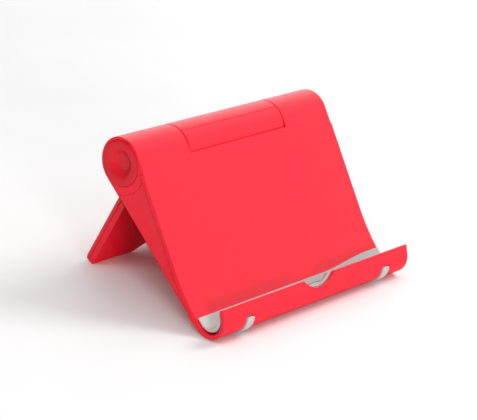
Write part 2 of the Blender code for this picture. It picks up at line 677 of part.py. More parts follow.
def make_leg_half(name, side, parts, tools, frame, red):
    """One half of the clamshell: side 1 is the rear shell and side -1 the cover that faces the panel."""
    half = leg_blank(name, tools, frame)
    tools.objects.unlink(half)
    parts.objects.link(half)
    half.data.materials.clear()
    half.data.materials.append(red)
    part_line = sorted((side * GAP / 2, -side * FAR))
    cut(half, box(f"{name}_split", (-FAR, part_line[0], -FAR), (FAR, part_line[1], FAR), tools, frame))
    cut(half, leg_cavity(f"{name}_cavity", tools, frame))
    knuckle = KNUCKLE_WIDTH / 2
    inner = BARREL_RADIUS - KNUCKLE_WALL
    last, near, far = knuckle - KNUCKLE_END_WALL, RIB_PITCH - 1 * MM, RIB_PITCH + 1 * MM
    for number, (left, right) in enumerate(((-last, -far), (-near, near), (far, last))):
        cut(half, x_rod(f"{name}_hollow_{number}", inner, left, right, tools, frame, BORE_SEGMENTS))
    cut(half, x_rod(f"{name}_sleeve_bore", SLEEVE_RADIUS + GAP, -FAR, FAR, tools, frame))
    for label, end in (("left", -1), ("right", 1)):
        floor = end * (WINDOW_WIDTH / 2 - GAP - DISC_THICKNESS - GAP)
        wide = sorted((floor, end * FAR))
        cut(half, x_rod(f"{name}_{label}_disc_seat", DISC_RADIUS + GAP, *wide, tools, frame))
    for number, (x, drop) in enumerate(LEG_SCREWS):
        turn = (math.pi / 2, 0, 0)
        if side > 0:
            pilot = rod_mesh(f"{name}_pilot_{number}", SCREW_THREAD + GAP, 2 * 1.6 * MM, 12)
            cut(half, add_object(pilot.name, pilot, tools, frame, (x, 0, -drop), turn))
        else:
            hole = rod_mesh(f"{name}_hole_{number}", SCREW_THREAD + GAP, 2 * LEG_THICKNESS, 12)
            cut(half, add_object(hole.name, hole, tools, frame, (x, 0, -drop), turn))
            sink = rod_mesh(f"{name}_sink_{number}", SCREW_HEAD + GAP, 2 * LEG_SINK, 16)
            cut(half, add_object(sink.name, sink, tools, frame, (x, -LEG_THICKNESS / 2, -drop), turn))
    smooth(half)
    return half


def make_leg_screws(parts, frame, steel):
    for number, (x, drop) in enumerate(LEG_SCREWS, 1):
        place = (Vector((x, -LEG_THICKNESS / 2 + LEG_SINK - GAP, -drop)), (math.pi / 2, 0, 0))
        make_screw(f"leg_screw_{number}", LEG_SCREW_LENGTH, place, parts, frame, steel)


# ---------------------------------------------------------------- hinge hardware


def ring_profile(outer, inner, low, high):
    return [(inner, high), (outer, high), (outer, low), (inner, low)]


def make_ring(name, outer, inner, left, right, parts, frame, finish, segments=SMALL_SEGMENTS):
    """A plain ring or tube along X."""
    profile = ring_profile(outer, inner, left, right)
    return turned(name, profile, parts, frame, (0, 0, 0), (0, math.pi / 2, 0), finish, segments)


def make_bolt(parts, frame, steel, head_side, far_end):
    """The hinge bolt: a low round head on the left, and a plain shank through to the nut."""
    length = far_end - head_side
    profile = [(0.0, BOLT_HEAD_HEIGHT), (BOLT_HEAD * 0.7, BOLT_HEAD_HEIGHT)]
    profile += [(BOLT_HEAD, BOLT_HEAD_HEIGHT * 0.6), (BOLT_HEAD, 0.0)]
    profile += [(BOLT_RADIUS, 0.0), (BOLT_RADIUS, BOLT_CHAMFER - length)]
    profile += [(BOLT_RADIUS - BOLT_CHAMFER, -length), (0.0, -length)]
    return turned("hinge_bolt", profile, parts, frame, (head_side, 0, 0), (0, -math.pi / 2, 0), steel)


def make_disc_spring(name, wide_end, narrow_end, parts, frame, steel):
    """A shallow spring cone along X between its wide end and its narrow end."""
    outer, inner = WASHER_RADIUS - 0.2 * MM, BOLT_RADIUS + GAP
    side = 1 if narrow_end > wide_end else -1
    high = abs(narrow_end - wide_end)
    profile = [(inner, high), (inner + 0.4 * MM, high), (outer, SPRING_WIRE), (outer, 0.0)]
    profile += [(outer - 0.4 * MM, 0.0), (inner, high - SPRING_WIRE)]
    return turned(name, profile, parts, frame, (wide_end, 0, 0), (0, side * math.pi / 2, 0), steel)


def make_nut(parts, tools, frame, steel, left):
    mesh = rod_mesh("lock_nut", NUT_ACROSS / math.sqrt(3), NUT_HEIGHT, 6)
    mesh.transform(Matrix.Rotation(math.pi / 2, 4, "Y"))
    nut = add_object("lock_nut", mesh, parts, frame, (left + NUT_HEIGHT / 2, 0, 0), finish=steel)
    cut(nut, x_rod("nut_bore", BOLT_RADIUS + GAP, -FAR, FAR, tools, frame))
    return nut


def make_hinge(parts, tools, panel, leg, steel, nylon):
    """From left to right: bolt head, washer, bulkhead, disc, knuckle and sleeve, disc, bulkhead, washer,
    two disc springs, washer and lock nut."""
    window = WINDOW_WIDTH / 2
    outboard = window + BULKHEAD + GAP
    sleeve_end = KNUCKLE_WIDTH / 2 - 1.1 * MM
    make_ring("pivot_sleeve", SLEEVE_RADIUS, BOLT_RADIUS + GAP, -sleeve_end, sleeve_end, parts, leg, nylon)
    for label, side in (("left", -1), ("right", 1)):
        span = sorted((side * (window - GAP), side * (window - GAP - DISC_THICKNESS)))
        make_ring(f"{label}_friction_disc", DISC_RADIUS, BOLT_RADIUS + GAP, *span, parts, panel, nylon)
    hole = BOLT_RADIUS + GAP
    head_side = -(outboard + WASHER_THICKNESS + GAP)
    make_ring("head_washer", WASHER_RADIUS, hole, -outboard - WASHER_THICKNESS, -outboard, parts, panel, steel)
    place = outboard
    make_ring("inner_washer", WASHER_RADIUS, hole, place, place + WASHER_THICKNESS, parts, panel, steel)
    place += WASHER_THICKNESS + GAP
    height = SPRING_CONE + SPRING_WIRE
    make_disc_spring("inner_disc_spring", place + height, place, parts, panel, steel)
    place += height + GAP
    make_disc_spring("outer_disc_spring", place, place + height, parts, panel, steel)
    place += height + GAP
    make_ring("outer_washer", WASHER_RADIUS, hole, place, place + WASHER_THICKNESS, parts, panel, steel)
    place += WASHER_THICKNESS + GAP
    make_nut(parts, tools, panel, steel, place)
    make_bolt(parts, panel, steel, head_side, place + NUT_HEIGHT + BOLT_END)


# ---------------------------------------------------------------- standing on the table


def standing_pose():
    """The panel's lean and the hinge's height when the trough's feet and the leg's toe share the table."""
    foot_radius = TROUGH_RADIUS + FOOT_PROUD
    down, ahead = LEG_TOE
    toe_drop = down * math.cos(LEG_ANGLE) + ahead * math.sin(LEG_ANGLE)
    toe_reach = ahead * math.cos(LEG_ANGLE) - down * math.sin(LEG_ANGLE)
    drop, reach = TROUGH[0] - toe_drop, TROUGH[1] - toe_reach
    lean = math.atan2(drop, reach) + math.asin((foot_radius - LEG_TOE_RADIUS) / math.hypot(drop, reach))
    height = TROUGH[0] * math.cos(lean) - TROUGH[1] * math.sin(lean) + foot_radius
    return lean, height


def footprint_middle(lean):
    """Half-way from the front of the trough's feet to the leg's heel, behind the hinge axis."""
    drop, reach = TROUGH
    front = -(reach * math.cos(lean) + drop * math.sin(lean)) - TROUGH_RADIUS - FOOT_PROUD
    drop, reach = LEG_HEEL
    leg_lean = LEG_ANGLE - lean
    rear = drop * math.sin(leg_lean) - reach * math.cos(leg_lean) + LEG_EDGE_RADIUS
    return (front + rear) / 2


def make_frames():
    lean, height = standing_pose()
    axis = (0, -footprint_middle(lean), height)
    frames = []
    for name, turn in (("panel_frame", -lean), ("leg_frame", LEG_ANGLE - lean)):
        frame = bpy.data.objects.new(name, None)
        bpy.context.scene.collection.objects.link(frame)
        frame.location = axis
        frame.rotation_euler = (turn, 0, 0)
        frames.append(frame)
    return frames


def main():
    clear_scene()
    parts = new_collection("tablet_stand")
    tools = new_collection("cutters")
    red = material("red_abs", RED, 0.42)
    silicone = material("grey_silicone", SILICONE, 0.6)
    steel = material("zinc_steel", STEEL, 0.35, 1.0)
    nylon = material("natural_nylon", NYLON, 0.5)
    panel, leg = make_frames()
    make_front_shell(parts, tools, panel, red)
    make_rear_cover(parts, tools, panel, red)
    make_liner(parts, tools, panel, silicone)
    make_end_cap("left_end_cap", -1, parts, panel, red)
    make_end_cap("right_end_cap", 1, parts, panel, red)
    make_cover_screws(parts, panel, steel)
    make_leg_half("leg_rear_shell", 1, parts, tools, leg, red)
    make_leg_half("leg_front_cover", -1, parts, tools, leg, red)
    make_leg_screws(parts, leg, steel)
    make_hinge(parts, tools, panel, leg, steel, nylon)


main()
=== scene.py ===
"""The looks of the folding tablet stand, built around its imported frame.

Shapes are made in the panel's frame or the leg's frame, as the CAD is: the origin is on the hinge axis, +X
runs right, +Y to the back and +Z up along the panel or the leg. A height below the hinge axis is called a
drop and a distance in front of it a reach. finish_piece() then rounds a piece and puts it on its body.
"""

import json
import math

import bmesh
import bpy
from mathutils import Matrix, Vector


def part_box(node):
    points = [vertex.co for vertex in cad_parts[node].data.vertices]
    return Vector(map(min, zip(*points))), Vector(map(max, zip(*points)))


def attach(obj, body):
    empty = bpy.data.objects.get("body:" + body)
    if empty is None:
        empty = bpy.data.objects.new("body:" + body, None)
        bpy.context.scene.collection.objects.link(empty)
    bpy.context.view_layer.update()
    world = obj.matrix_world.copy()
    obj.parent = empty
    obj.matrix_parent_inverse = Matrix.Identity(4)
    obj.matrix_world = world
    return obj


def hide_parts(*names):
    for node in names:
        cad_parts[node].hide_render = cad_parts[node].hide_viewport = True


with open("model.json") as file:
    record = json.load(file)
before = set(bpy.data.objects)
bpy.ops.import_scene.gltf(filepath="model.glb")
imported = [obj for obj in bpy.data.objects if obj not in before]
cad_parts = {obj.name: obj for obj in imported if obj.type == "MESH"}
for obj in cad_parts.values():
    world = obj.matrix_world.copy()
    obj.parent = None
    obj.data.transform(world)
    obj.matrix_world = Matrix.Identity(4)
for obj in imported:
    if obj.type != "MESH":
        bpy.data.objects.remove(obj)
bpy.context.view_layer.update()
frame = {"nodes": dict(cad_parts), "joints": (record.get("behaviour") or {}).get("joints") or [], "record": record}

MM = 0.001

# Panel
BARREL_RADIUS = 9.6 * MM
BARREL_INSET = 0.4 * MM
TAPER = math.radians(16.9)
PLATE_WALL = 1.8 * MM
BEND_DROP = 41.6 * MM
SIDE_INSET = 0.8 * MM
SIDE_WALL = 1.8 * MM
FLANGE_DROP = 6.7 * MM
BOSS_RADIUS = 11.6 * MM
BOSS_THICKNESS = 1.6 * MM
CROWN_DEPTH = 0.7 * MM
COVE_DEPTH = 4.6 * MM
COVE_TUCK = 0.5 * MM
COVE_BACK_CLEARANCE = 0.6 * MM

# Trough
TROUGH_DROP = 62.0 * MM
TROUGH_REACH = 18.0 * MM
TROUGH_RADIUS = 7.3 * MM
TROUGH_WALL = 1.6 * MM
LIP_DROP = 60.4 * MM
LIP_LEAN = math.radians(16.0)
TROUGH_HEEL = math.radians(130.0)
BACK_CURVE_DROP = 48.0 * MM
COVER_END_DROP = 58.2 * MM
HEEL_STEP = 0.35 * MM
NOTCH_RADIUS = 11.2 * MM
NOTCH_DEPTH = 3.9 * MM
NOTCH_LINER_STEP = 1.0 * MM

# Liner
LINER_BACK_WALL = 0.6 * MM
LINER_UP = 0.6 * MM
LINER_BACK = 0.7 * MM
LINER_DROP = 60.7 * MM
LINER_RISE = 2.5 * MM
LINER_GENTLE_RISE = 0.45 * MM
LINER_RISE_START = 16.0 * MM
LINER_RISE_END = 46.0 * MM
LINER_INSET = 0.8 * MM
RELIEF_DEPTH = 0.35 * MM
RELIEF_LENGTH = 1.6 * MM
RELIEF_START = math.radians(155.0)
FOOT_X = 38.3 * MM
FOOT_WIDTH = 3.7 * MM
FOOT_CORNER = 1.1 * MM
FOOT_PROUD = 0.5 * MM
FOOT_START = math.radians(31.0)
FOOT_END = math.radians(128.0)

# Leg
LEG_WIDTH = 78.0 * MM
LEG_LENGTH = 55.2 * MM
LEG_THICKNESS = 5.0 * MM
LEG_SHOULDER_DROP = 10.5 * MM
LEG_EDGE_RADIUS = 2.0 * MM
LEG_TOE_RADIUS = 0.8 * MM
ARCH_HALF_WIDTH = 20.0 * MM
ARCH_RISE = 4.0 * MM
KNUCKLE_WIDTH = 51.7 * MM
NECK_WIDTH = 51.0 * MM
LEG_SEAM = 0.14 * MM

# Hinge and fasteners
WINDOW_WIDTH = 52.6 * MM
WINDOW_DROP = 3.6 * MM
WINDOW_CLEARANCE = 0.35 * MM
BULKHEAD = 2.6 * MM
BARREL_WALL = 1.9 * MM
CAP_RADIUS = 8.5 * MM
CAP_PLAY = 0.05 * MM
CAP_SEAT_DEPTH = 2.4 * MM
CAP_CREST = 0.5 * MM
CAP_EDGE = 0.2 * MM
CAP_SETBACK = 0.08 * MM
CAP_DISH = 1.7 * MM
CAP_DISH_RADIUS = 5.9 * MM
CAP_FLOOR_RADIUS = 2.4 * MM
CAP_WALL = 1.2 * MM
CAP_SKIRT = 6.0 * MM
BOLT_RADIUS = 2.0 * MM
SLEEVE_RADIUS = 3.6 * MM
DISC_RADIUS = 7.0 * MM
DISC_THICKNESS = 0.5 * MM
SCREW_HEAD = 1.8 * MM
SCREW_HEAD_HEIGHT = 0.9 * MM
SCREW_THREAD = 0.8 * MM
SCREW_BOSS = 2.4 * MM
SCREW_SLOT = 0.34 * MM
SCREW_CROSS_TURN = 0.35
COVER_SCREW_LENGTH = 5.0 * MM
COVER_SINK = 0.4 * MM
LEG_SCREW_LENGTH = 2.5 * MM
LEG_SINK = 1.2 * MM
COVER_SCREWS = [(side * 45.0 * MM, drop) for side in (-1, 1) for drop in (14.0 * MM, 38.0 * MM)]
LEG_SCREW_PLACES = ((31.0 * MM, 15.5 * MM), (8.0 * MM, 45.0 * MM))
LEG_SCREWS = [(side * x, drop) for side in (-1, 1) for x, drop in LEG_SCREW_PLACES]

# Rear cover
COVER_WALL = 1.3 * MM
RECESS_HALF_WIDTH = 39.5 * MM
COVER_START_DROP = 8.6 * MM
COVER_HEEL_STEP = 0.32 * MM

# How far each moulding's edges are rounded
SHELL_ROUNDING = 0.25 * MM
COVER_ROUNDING = 0.2 * MM
LINER_ROUNDING = 0.15 * MM
LEG_ROUNDING = 0.18 * MM
SCREW_ROUNDING = 0.04 * MM
ROUNDED_FROM = math.radians(40)

# Play between pieces, how far cutters reach, how close points merge, and a hair's overlap
GAP = 0.3 * MM
FAR = 200.0 * MM
PAST = 5.0 * MM
MERGE = 0.004 * MM
SLIVER = 0.02 * MM

# The frame's own places: the hinge axis, and how far the panel and the leg lean
record = frame["record"]
mounts = {mount["name"]: mount for mount in record["mounts"]}
HINGE = Vector(frame["joints"][0]["pos_m"])
LEAN = math.atan2(mounts["device_face"]["axis"][2], -mounts["device_face"]["axis"][1])
LEG_LEAN = math.atan2(mounts["leg_rear_face"]["axis"][2], mounts["leg_rear_face"]["axis"][1])
PANEL = Matrix.Translation(HINGE) @ Matrix.Rotation(-LEAN, 4, "X")
LEG = Matrix.Translation(HINGE) @ Matrix.Rotation(LEG_LEAN, 4, "X")
HALF_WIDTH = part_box("front_shell")[1].x

TROUGH = (TROUGH_DROP, TROUGH_REACH)
BORE = TROUGH_RADIUS - TROUGH_WALL
AXIS = (0.0, 0.0)
BEND_RUN = TROUGH_DROP - BEND_DROP
BEND_RISE = TROUGH_REACH - BARREL_RADIUS
BEND_RADIUS = (BEND_RUN**2 + BEND_RISE**2 - BORE**2) / (2 * (BEND_RISE - BORE))

# The liner's own bore lies a little up and back in the trough's, so its wall is thickest under the lip
LINER_CENTRE = (TROUGH_DROP - LINER_UP, TROUGH_REACH - LINER_BACK)


# ---------------------------------------------------------------- materials


class Nodes:
    """A short way to wire a material's nodes."""

    def __init__(self, name):
        self.material = bpy.data.materials.new(name)
        self.material.use_nodes = True
        self.tree = self.material.node_tree
        self.shader = self.tree.nodes["Principled BSDF"]
        self.place = self.add("ShaderNodeTexCoord").outputs["Object"]

    def add(self, kind, **values):
        node = self.tree.nodes.new(kind)
        for key, value in values.items():
            if hasattr(node, key):
                setattr(node, key, value)
            else:
                node.inputs[key.replace("_", " ").title()].default_value = value
        return node

    def link(self, source, target):
        self.tree.links.new(source, target)

    def noise(self, size, detail=3.0, stretch=(1, 1, 1)):
        """Noise with features of about the given size in metres."""
        mapping = self.add("ShaderNodeMapping")
        mapping.inputs["Scale"].default_value = stretch
        self.link(self.place, mapping.inputs["Vector"])
        noise = self.add("ShaderNodeTexNoise", scale=1 / size, detail=detail, roughness=0.55)
        self.link(mapping.outputs["Vector"], noise.inputs["Vector"])
        return noise.outputs["Fac"]

    def ramp(self, source, low, high, start=0.35, end=0.65):
        """Maps noise to a range of numbers."""
        node = self.add("ShaderNodeMapRange")
        for key, value in (("From Min", start), ("From Max", end), ("To Min", low), ("To Max", high)):
            node.inputs[key].default_value = value
        self.link(source, node.inputs["Value"])
        return node.outputs["Result"]

    def mix(self, factor, first, second):
        node = self.add("ShaderNodeMix", data_type="RGBA")
        if isinstance(first, tuple):
            node.inputs["A"].default_value = (*first, 1)
        else:
            self.link(first, node.inputs["A"])
        node.inputs["B"].default_value = (*second, 1)
        self.link(factor, node.inputs["Factor"])
        return node.outputs["Result"]

    def bump(self, source, distance, strength=1.0, below=None):
        node = self.add("ShaderNodeBump")
        node.inputs["Strength"].default_value = strength
        node.inputs["Distance"].default_value = distance
        self.link(source, node.inputs["Height"])
        if below:
            self.link(below, node.inputs["Normal"])
        return node.outputs["Normal"]


def red_plastic(name, shade=1.0):
    """Satin moulded ABS: even colour, a faint mould texture and a little light through thin walls. A shade below 1
    darkens the whole colour, as painted shade.
    """
    nodes = Nodes(name)
    shader = nodes.shader
    base = tuple(shade * part for part in (0.86, 0.004, 0.024))
    deep = tuple(shade * part for part in (0.80, 0.003, 0.021))
    cloud = nodes.ramp(nodes.noise(18 * MM, 2.0), 0.0, 0.45)
    nodes.link(nodes.mix(cloud, base, deep), shader.inputs["Base Color"])
    grain = nodes.noise(0.12 * MM, 2.0)
    haze = nodes.noise(5 * MM, 4.0)
    nodes.link(nodes.ramp(haze, 0.33, 0.39), shader.inputs["Roughness"])
    orange_peel = nodes.bump(nodes.noise(1.6 * MM, 2.0), 0.006 * MM, 0.5)
    nodes.link(nodes.bump(grain, 0.004 * MM, 0.35, orange_peel), shader.inputs["Normal"])
    shader.inputs["IOR"].default_value = 1.5
    shader.inputs["Subsurface Weight"].default_value = 0.12
    shader.inputs["Subsurface Radius"].default_value = (1.0, 0.06, 0.08)
    shader.inputs["Subsurface Scale"].default_value = 1.6 * MM
    return nodes.material


def grey_silicone():
    """Soft light grey silicone: matt, with a fine tooth and a trace of dust."""
    nodes = Nodes("grey_silicone")
    shader = nodes.shader
    cloud = nodes.ramp(nodes.noise(9 * MM, 3.0), 0.0, 0.6)
    tone = nodes.mix(cloud, (0.51, 0.49, 0.48), (0.46, 0.44, 0.43))
    dust = nodes.ramp(nodes.noise(0.35 * MM, 1.0), 0.0, 0.35, 0.68, 0.78)
    nodes.link(nodes.mix(dust, tone, (0.62, 0.60, 0.59)), shader.inputs["Base Color"])
    nodes.link(nodes.ramp(nodes.noise(3 * MM, 3.0), 0.52, 0.64), shader.inputs["Roughness"])
    nodes.link(nodes.bump(nodes.noise(0.18 * MM, 2.0), 0.008 * MM, 0.5), shader.inputs["Normal"])
    shader.inputs["Subsurface Weight"].default_value = 0.12
    shader.inputs["Subsurface Radius"].default_value = (0.8, 0.7, 0.7)
    shader.inputs["Subsurface Scale"].default_value = 0.8 * MM
    shader.inputs["Sheen Weight"].default_value = 0.12
    return nodes.material


def zinc_steel():
    """Zinc-plated steel with fine drawn lines and cloudy plating."""
    nodes = Nodes("zinc_steel_look")
    shader = nodes.shader
    cloud = nodes.ramp(nodes.noise(2 * MM, 3.0), 0.0, 1.0)
    nodes.link(nodes.mix(cloud, (0.62, 0.62, 0.60), (0.47, 0.48, 0.50)), shader.inputs["Base Color"])
    lines = nodes.noise(0.5 * MM, 3.0, (1, 9, 9))
    nodes.link(nodes.ramp(lines, 0.26, 0.46), shader.inputs["Roughness"])
    nodes.link(nodes.bump(lines, 0.006 * MM, 0.4), shader.inputs["Normal"])
    shader.inputs["Metallic"].default_value = 1.0
    return nodes.material


def natural_nylon():
    """Unpigmented nylon: waxy off-white that lets light in."""
    nodes = Nodes("natural_nylon_look")
    shader = nodes.shader
    cloud = nodes.ramp(nodes.noise(3 * MM, 3.0), 0.0, 1.0)
    nodes.link(nodes.mix(cloud, (0.80, 0.78, 0.70), (0.72, 0.70, 0.62)), shader.inputs["Base Color"])
    nodes.link(nodes.ramp(nodes.noise(1 * MM, 3.0), 0.38, 0.52), shader.inputs["Roughness"])
    nodes.link(nodes.bump(nodes.noise(0.3 * MM, 2.0), 0.006 * MM, 0.4), shader.inputs["Normal"])
    shader.inputs["Subsurface Weight"].default_value = 0.3
    shader.inputs["Subsurface Scale"].default_value = 1.0 * MM
    return nodes.material


def pale_floor():
    """A matt pale table with a barely visible tooth, painted darker where the stand mirrors it, as painted shade
    in its reflections.
    """
    nodes = Nodes("pale_floor")
    shader = nodes.shader
    cloud = nodes.ramp(nodes.noise(60 * MM, 2.0), 0.0, 1.0)
    tone = nodes.mix(cloud, (0.88, 0.88, 0.88), (0.86, 0.86, 0.865))
    mirrored = nodes.add("ShaderNodeLightPath").outputs["Is Glossy Ray"]
    # Rays mirrored off the stand see the floor at 0.34: painted shade in the stand's reflections of the floor.
    nodes.link(nodes.mix(mirrored, tone, (0.34, 0.34, 0.34)), shader.inputs["Base Color"])
    nodes.link(nodes.bump(nodes.noise(0.8 * MM, 3.0), 0.02 * MM, 0.3), shader.inputs["Normal"])
    shader.inputs["Roughness"].default_value = 0.7
    return nodes.material


# ---------------------------------------------------------------- outlines


def polar(centre, radius, angle):
    """A point of a circle in the side view, as (drop, reach). Angle 0 is to the front and 90 is down."""
    return (centre[0] + radius * math.sin(angle), centre[1] + radius * math.cos(angle))


def arc(centre, radius, start, end, steps):
    return [polar(centre, radius, start + (end - start) * i / steps) for i in range(steps + 1)]


def bezier(first, control, last, steps):
    """Points of a quadratic curve, without its first point."""
    points = []
    for i in range(1, steps + 1):
        t = i / steps
        weights = ((1 - t) ** 2, 2 * t * (1 - t), t * t)
        points.append(tuple(sum(w * p[k] for w, p in zip(weights, (first, control, last))) for k in range(2)))
    return points


def front_reach(drop, offset=0.0):
    """How far the panel's front face stands in front of the hinge axis: flat, then bending forward."""
    if drop <= BEND_DROP:
        return BARREL_RADIUS + offset
    return BARREL_RADIUS + BEND_RADIUS - math.sqrt((BEND_RADIUS - offset) ** 2 - (drop - BEND_DROP) ** 2)


def back_reach(drop):
    """The reach of the panel's straight back face, which is tangent to the barrel."""
    return -BARREL_RADIUS / math.cos(TAPER) + drop * math.tan(TAPER)


def front_path(start, end, offset, steps):
    """Points down the front face, moved forward by offset."""
    drops = [start + (end - start) * i / steps for i in range(steps + 1)]
    return [(drop, front_reach(drop, offset)) for drop in drops]


def pocket_turn(centre, offset):
    """Radius of the arc about centre that continues the offset front face, and the angle where they meet."""
    run, rise = centre[0] - BEND_DROP, BARREL_RADIUS + BEND_RADIUS - centre[1]
    return BEND_RADIUS - offset - math.hypot(run, rise), math.pi - math.atan2(run, rise)


def pocket_path(start, offset, steps, turn_steps, centre=TROUGH):
    """Down the offset front face from a drop, and around the trough to the foot of its lip."""
    radius, join = pocket_turn(centre, offset)
    end = centre[0] + radius * math.sin(join)
    return front_path(start, end, offset, steps)[:-1] + arc(centre, radius, join, LIP_LEAN, turn_steps)


def lip_point(radius, drop, centre=TROUGH):
    """Where the lip's straight face, tangent to the circle of that radius, passes the given drop."""
    foot = polar(centre, radius, LIP_LEAN)
    return (drop, foot[1] + (foot[0] - drop) * math.tan(LIP_LEAN))


def heel_path(steps):
    """The panel's lower back edge, from the end of its straight part to the trough's underside."""
    first = (BACK_CURVE_DROP, back_reach(BACK_CURVE_DROP))
    last = polar(TROUGH, TROUGH_RADIUS, TROUGH_HEEL)
    tangent = 1 / math.tan(math.pi - TROUGH_HEEL)
    across = math.tan(TAPER)
    drop = (last[1] - first[1] + across * first[0] - last[0] / tangent) / (across - 1 / tangent)
    control = (drop, first[1] + across * (drop - first[0]))
    return [first] + bezier(first, control, last, steps)


# ---------------------------------------------------------------- solids


# An XY outline turned into the side view: X becomes Y, Y becomes Z and the thickness runs along X
SIDE_VIEW = Matrix(((0, 0, 1, 0), (1, 0, 0, 0), (0, 1, 0, 0), (0, 0, 0, 1)))
# An XY outline turned into the front view: Y becomes Z and the thickness runs along Y
FRONT_VIEW = Matrix(((1, 0, 0, 0), (0, 0, -1, 0), (0, 1, 0, 0), (0, 0, 0, 1)))


def holder(name, mesh):
    made = bpy.data.objects.new(name, mesh)
    bpy.context.scene.collection.objects.link(made)
    return made


def slab(name, points, thickness, turn):
    """A closed outline in XY, thickened evenly about Z = 0 and turned, as an object."""
    curve = bpy.data.curves.new(name, "CURVE")
    curve.dimensions = "2D"
    curve.fill_mode = "BOTH"
    curve.extrude = thickness / 2
    spline = curve.splines.new("POLY")
    spline.points.add(len(points) - 1)
    for target, point in zip(spline.points, points):
        target.co = (point[0], point[1], 0.0, 1.0)
    spline.use_cyclic_u = True
    drawn = holder(name, curve)
    evaluated = drawn.evaluated_get(bpy.context.evaluated_depsgraph_get())
    mesh = bpy.data.meshes.new_from_object(evaluated)
    bpy.data.objects.remove(drawn)
    shape = bmesh.new()
    shape.from_mesh(mesh)
    bmesh.ops.remove_doubles(shape, verts=shape.verts, dist=MERGE)
    bmesh.ops.dissolve_limit(shape, angle_limit=math.radians(0.5), verts=shape.verts, edges=shape.edges)
    bmesh.ops.recalc_face_normals(shape, faces=shape.faces)
    shape.to_mesh(mesh)
    shape.free()
    mesh.transform(turn)
    return holder(name, mesh)


def side_slab(name, points, left, right):
    """A side-view outline of (drop, reach) points, from x = left to x = right."""
    turn = Matrix.Translation(((left + right) / 2, 0, 0)) @ SIDE_VIEW
    return slab(name, [(-reach, -drop) for drop, reach in points], right - left, turn)


def front_slab(name, points, front, back):
    """A front-view outline of (x, drop) points, from y = front to y = back."""
    turn = Matrix.Translation((0, (front + back) / 2, 0)) @ FRONT_VIEW
    return slab(name, [(x, -drop) for x, drop in points], back - front, turn)


def block(name, low, high):
    shape = bmesh.new()
    bmesh.ops.create_cube(shape, size=1.0)
    bmesh.ops.scale(shape, vec=Vector(high) - Vector(low), verts=shape.verts)
    bmesh.ops.translate(shape, vec=(Vector(low) + Vector(high)) / 2, verts=shape.verts)
    mesh = bpy.data.meshes.new(name)
    shape.to_mesh(mesh)
    shape.free()
    return holder(name, mesh)


def rod(name, radius, length, turn, segments=48):
    """A round bar about its own Z, centred, then turned."""
    shape = bmesh.new()
    size = {"radius1": radius, "radius2": radius, "depth": length}
    bmesh.ops.create_cone(shape, cap_ends=True, segments=segments, **size)
    bmesh.ops.transform(shape, matrix=turn, verts=shape.verts)
    mesh = bpy.data.meshes.new(name)
    shape.to_mesh(mesh)
    shape.free()
    return holder(name, mesh)


def x_rod(name, radius, left, right, segments=96):
    turn = Matrix.Translation(((left + right) / 2, 0, 0)) @ Matrix.Rotation(math.pi / 2, 4, "Y")
    return rod(name, radius, right - left, turn, segments)


def lathe(name, profile, turn, segments):
    """A turned shape about Z from (radius, height) points that start and end on the axis, top to bottom."""
    shape = bmesh.new()
    corners = [shape.verts.new((radius, 0.0, height)) for radius, height in profile]
    edges = [shape.edges.new(pair) for pair in zip(corners, corners[1:])]
    bmesh.ops.spin(
        shape,
        geom=corners + edges,
        axis=(0, 0, 1),
        cent=(0, 0, 0),
        angle=2 * math.pi,
        steps=segments,
        use_merge=True,
    )
    bmesh.ops.remove_doubles(shape, verts=shape.verts, dist=MERGE)
    bmesh.ops.recalc_face_normals(shape, faces=shape.faces)
    bmesh.ops.transform(shape, matrix=turn, verts=shape.verts)
    mesh = bpy.data.meshes.new(name)
    shape.to_mesh(mesh)
    shape.free()
    return holder(name, mesh)


def combine(target, operation, *tools):
    """Joins, cuts or intersects with each tool in turn, and removes the tools."""
    for tool in tools:
        modifier = target.modifiers.new(tool.name, "BOOLEAN")
        modifier.operation = operation
        modifier.solver = "EXACT"
        modifier.object = tool
    evaluated = target.evaluated_get(bpy.context.evaluated_depsgraph_get())
    mesh = bpy.data.meshes.new_from_object(evaluated)
    target.modifiers.clear()
    target.data = mesh
    for tool in tools:
        bpy.data.objects.remove(tool)
    return target


def add(target, *tools):
    return combine(target, "UNION", *tools)


def cut(target, *tools):
    return combine(target, "DIFFERENCE", *tools)


def finish_piece(made, body, material, slot, stands_for, rounding, segments=2, fences=()):
    """Cleans a piece's mesh, rounds its edges and puts it on its body.

    Long faces are split at the fences, so that a small feature's rounding doesn't crease a whole face.
    """
    shape = bmesh.new()
    shape.from_mesh(made.data)
    bmesh.ops.remove_doubles(shape, verts=shape.verts, dist=MERGE)
    bmesh.ops.dissolve_limit(shape, angle_limit=math.radians(0.3), verts=shape.verts, edges=shape.edges)
    bmesh.ops.dissolve_degenerate(shape, dist=MERGE, edges=shape.edges)
    for x in fences:
        everything = shape.verts[:] + shape.edges[:] + shape.faces[:]
        bmesh.ops.bisect_plane(shape, geom=everything, dist=MERGE, plane_co=(x, 0, 0), plane_no=(1, 0, 0))
    shape.to_mesh(made.data)
    shape.free()
    if rounding:
        bevel = made.modifiers.new("rounding", "BEVEL")
        bevel.width = rounding
        bevel.segments = segments
        bevel.limit_method = "ANGLE"
        bevel.angle_limit = ROUNDED_FROM
        bevel.use_clamp_overlap = False
        bevel.miter_outer = "MITER_ARC"
        evaluated = made.evaluated_get(bpy.context.evaluated_depsgraph_get())
        mesh = bpy.data.meshes.new_from_object(evaluated)
        made.modifiers.clear()
        made.data = mesh
    made.data.transform(LEG if body == "leg" else PANEL)
    made.data.materials.clear()
    made.data.materials.append(material)
    made.data.shade_smooth()
    made.data.set_sharp_from_angle(angle=ROUNDED_FROM)
    weighted = made.modifiers.new("even_shading", "WEIGHTED_NORMAL")
    weighted.keep_sharp = True
    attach(made, body)
    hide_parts(*stands_for)
    return made


# ---------------------------------------------------------------- panel


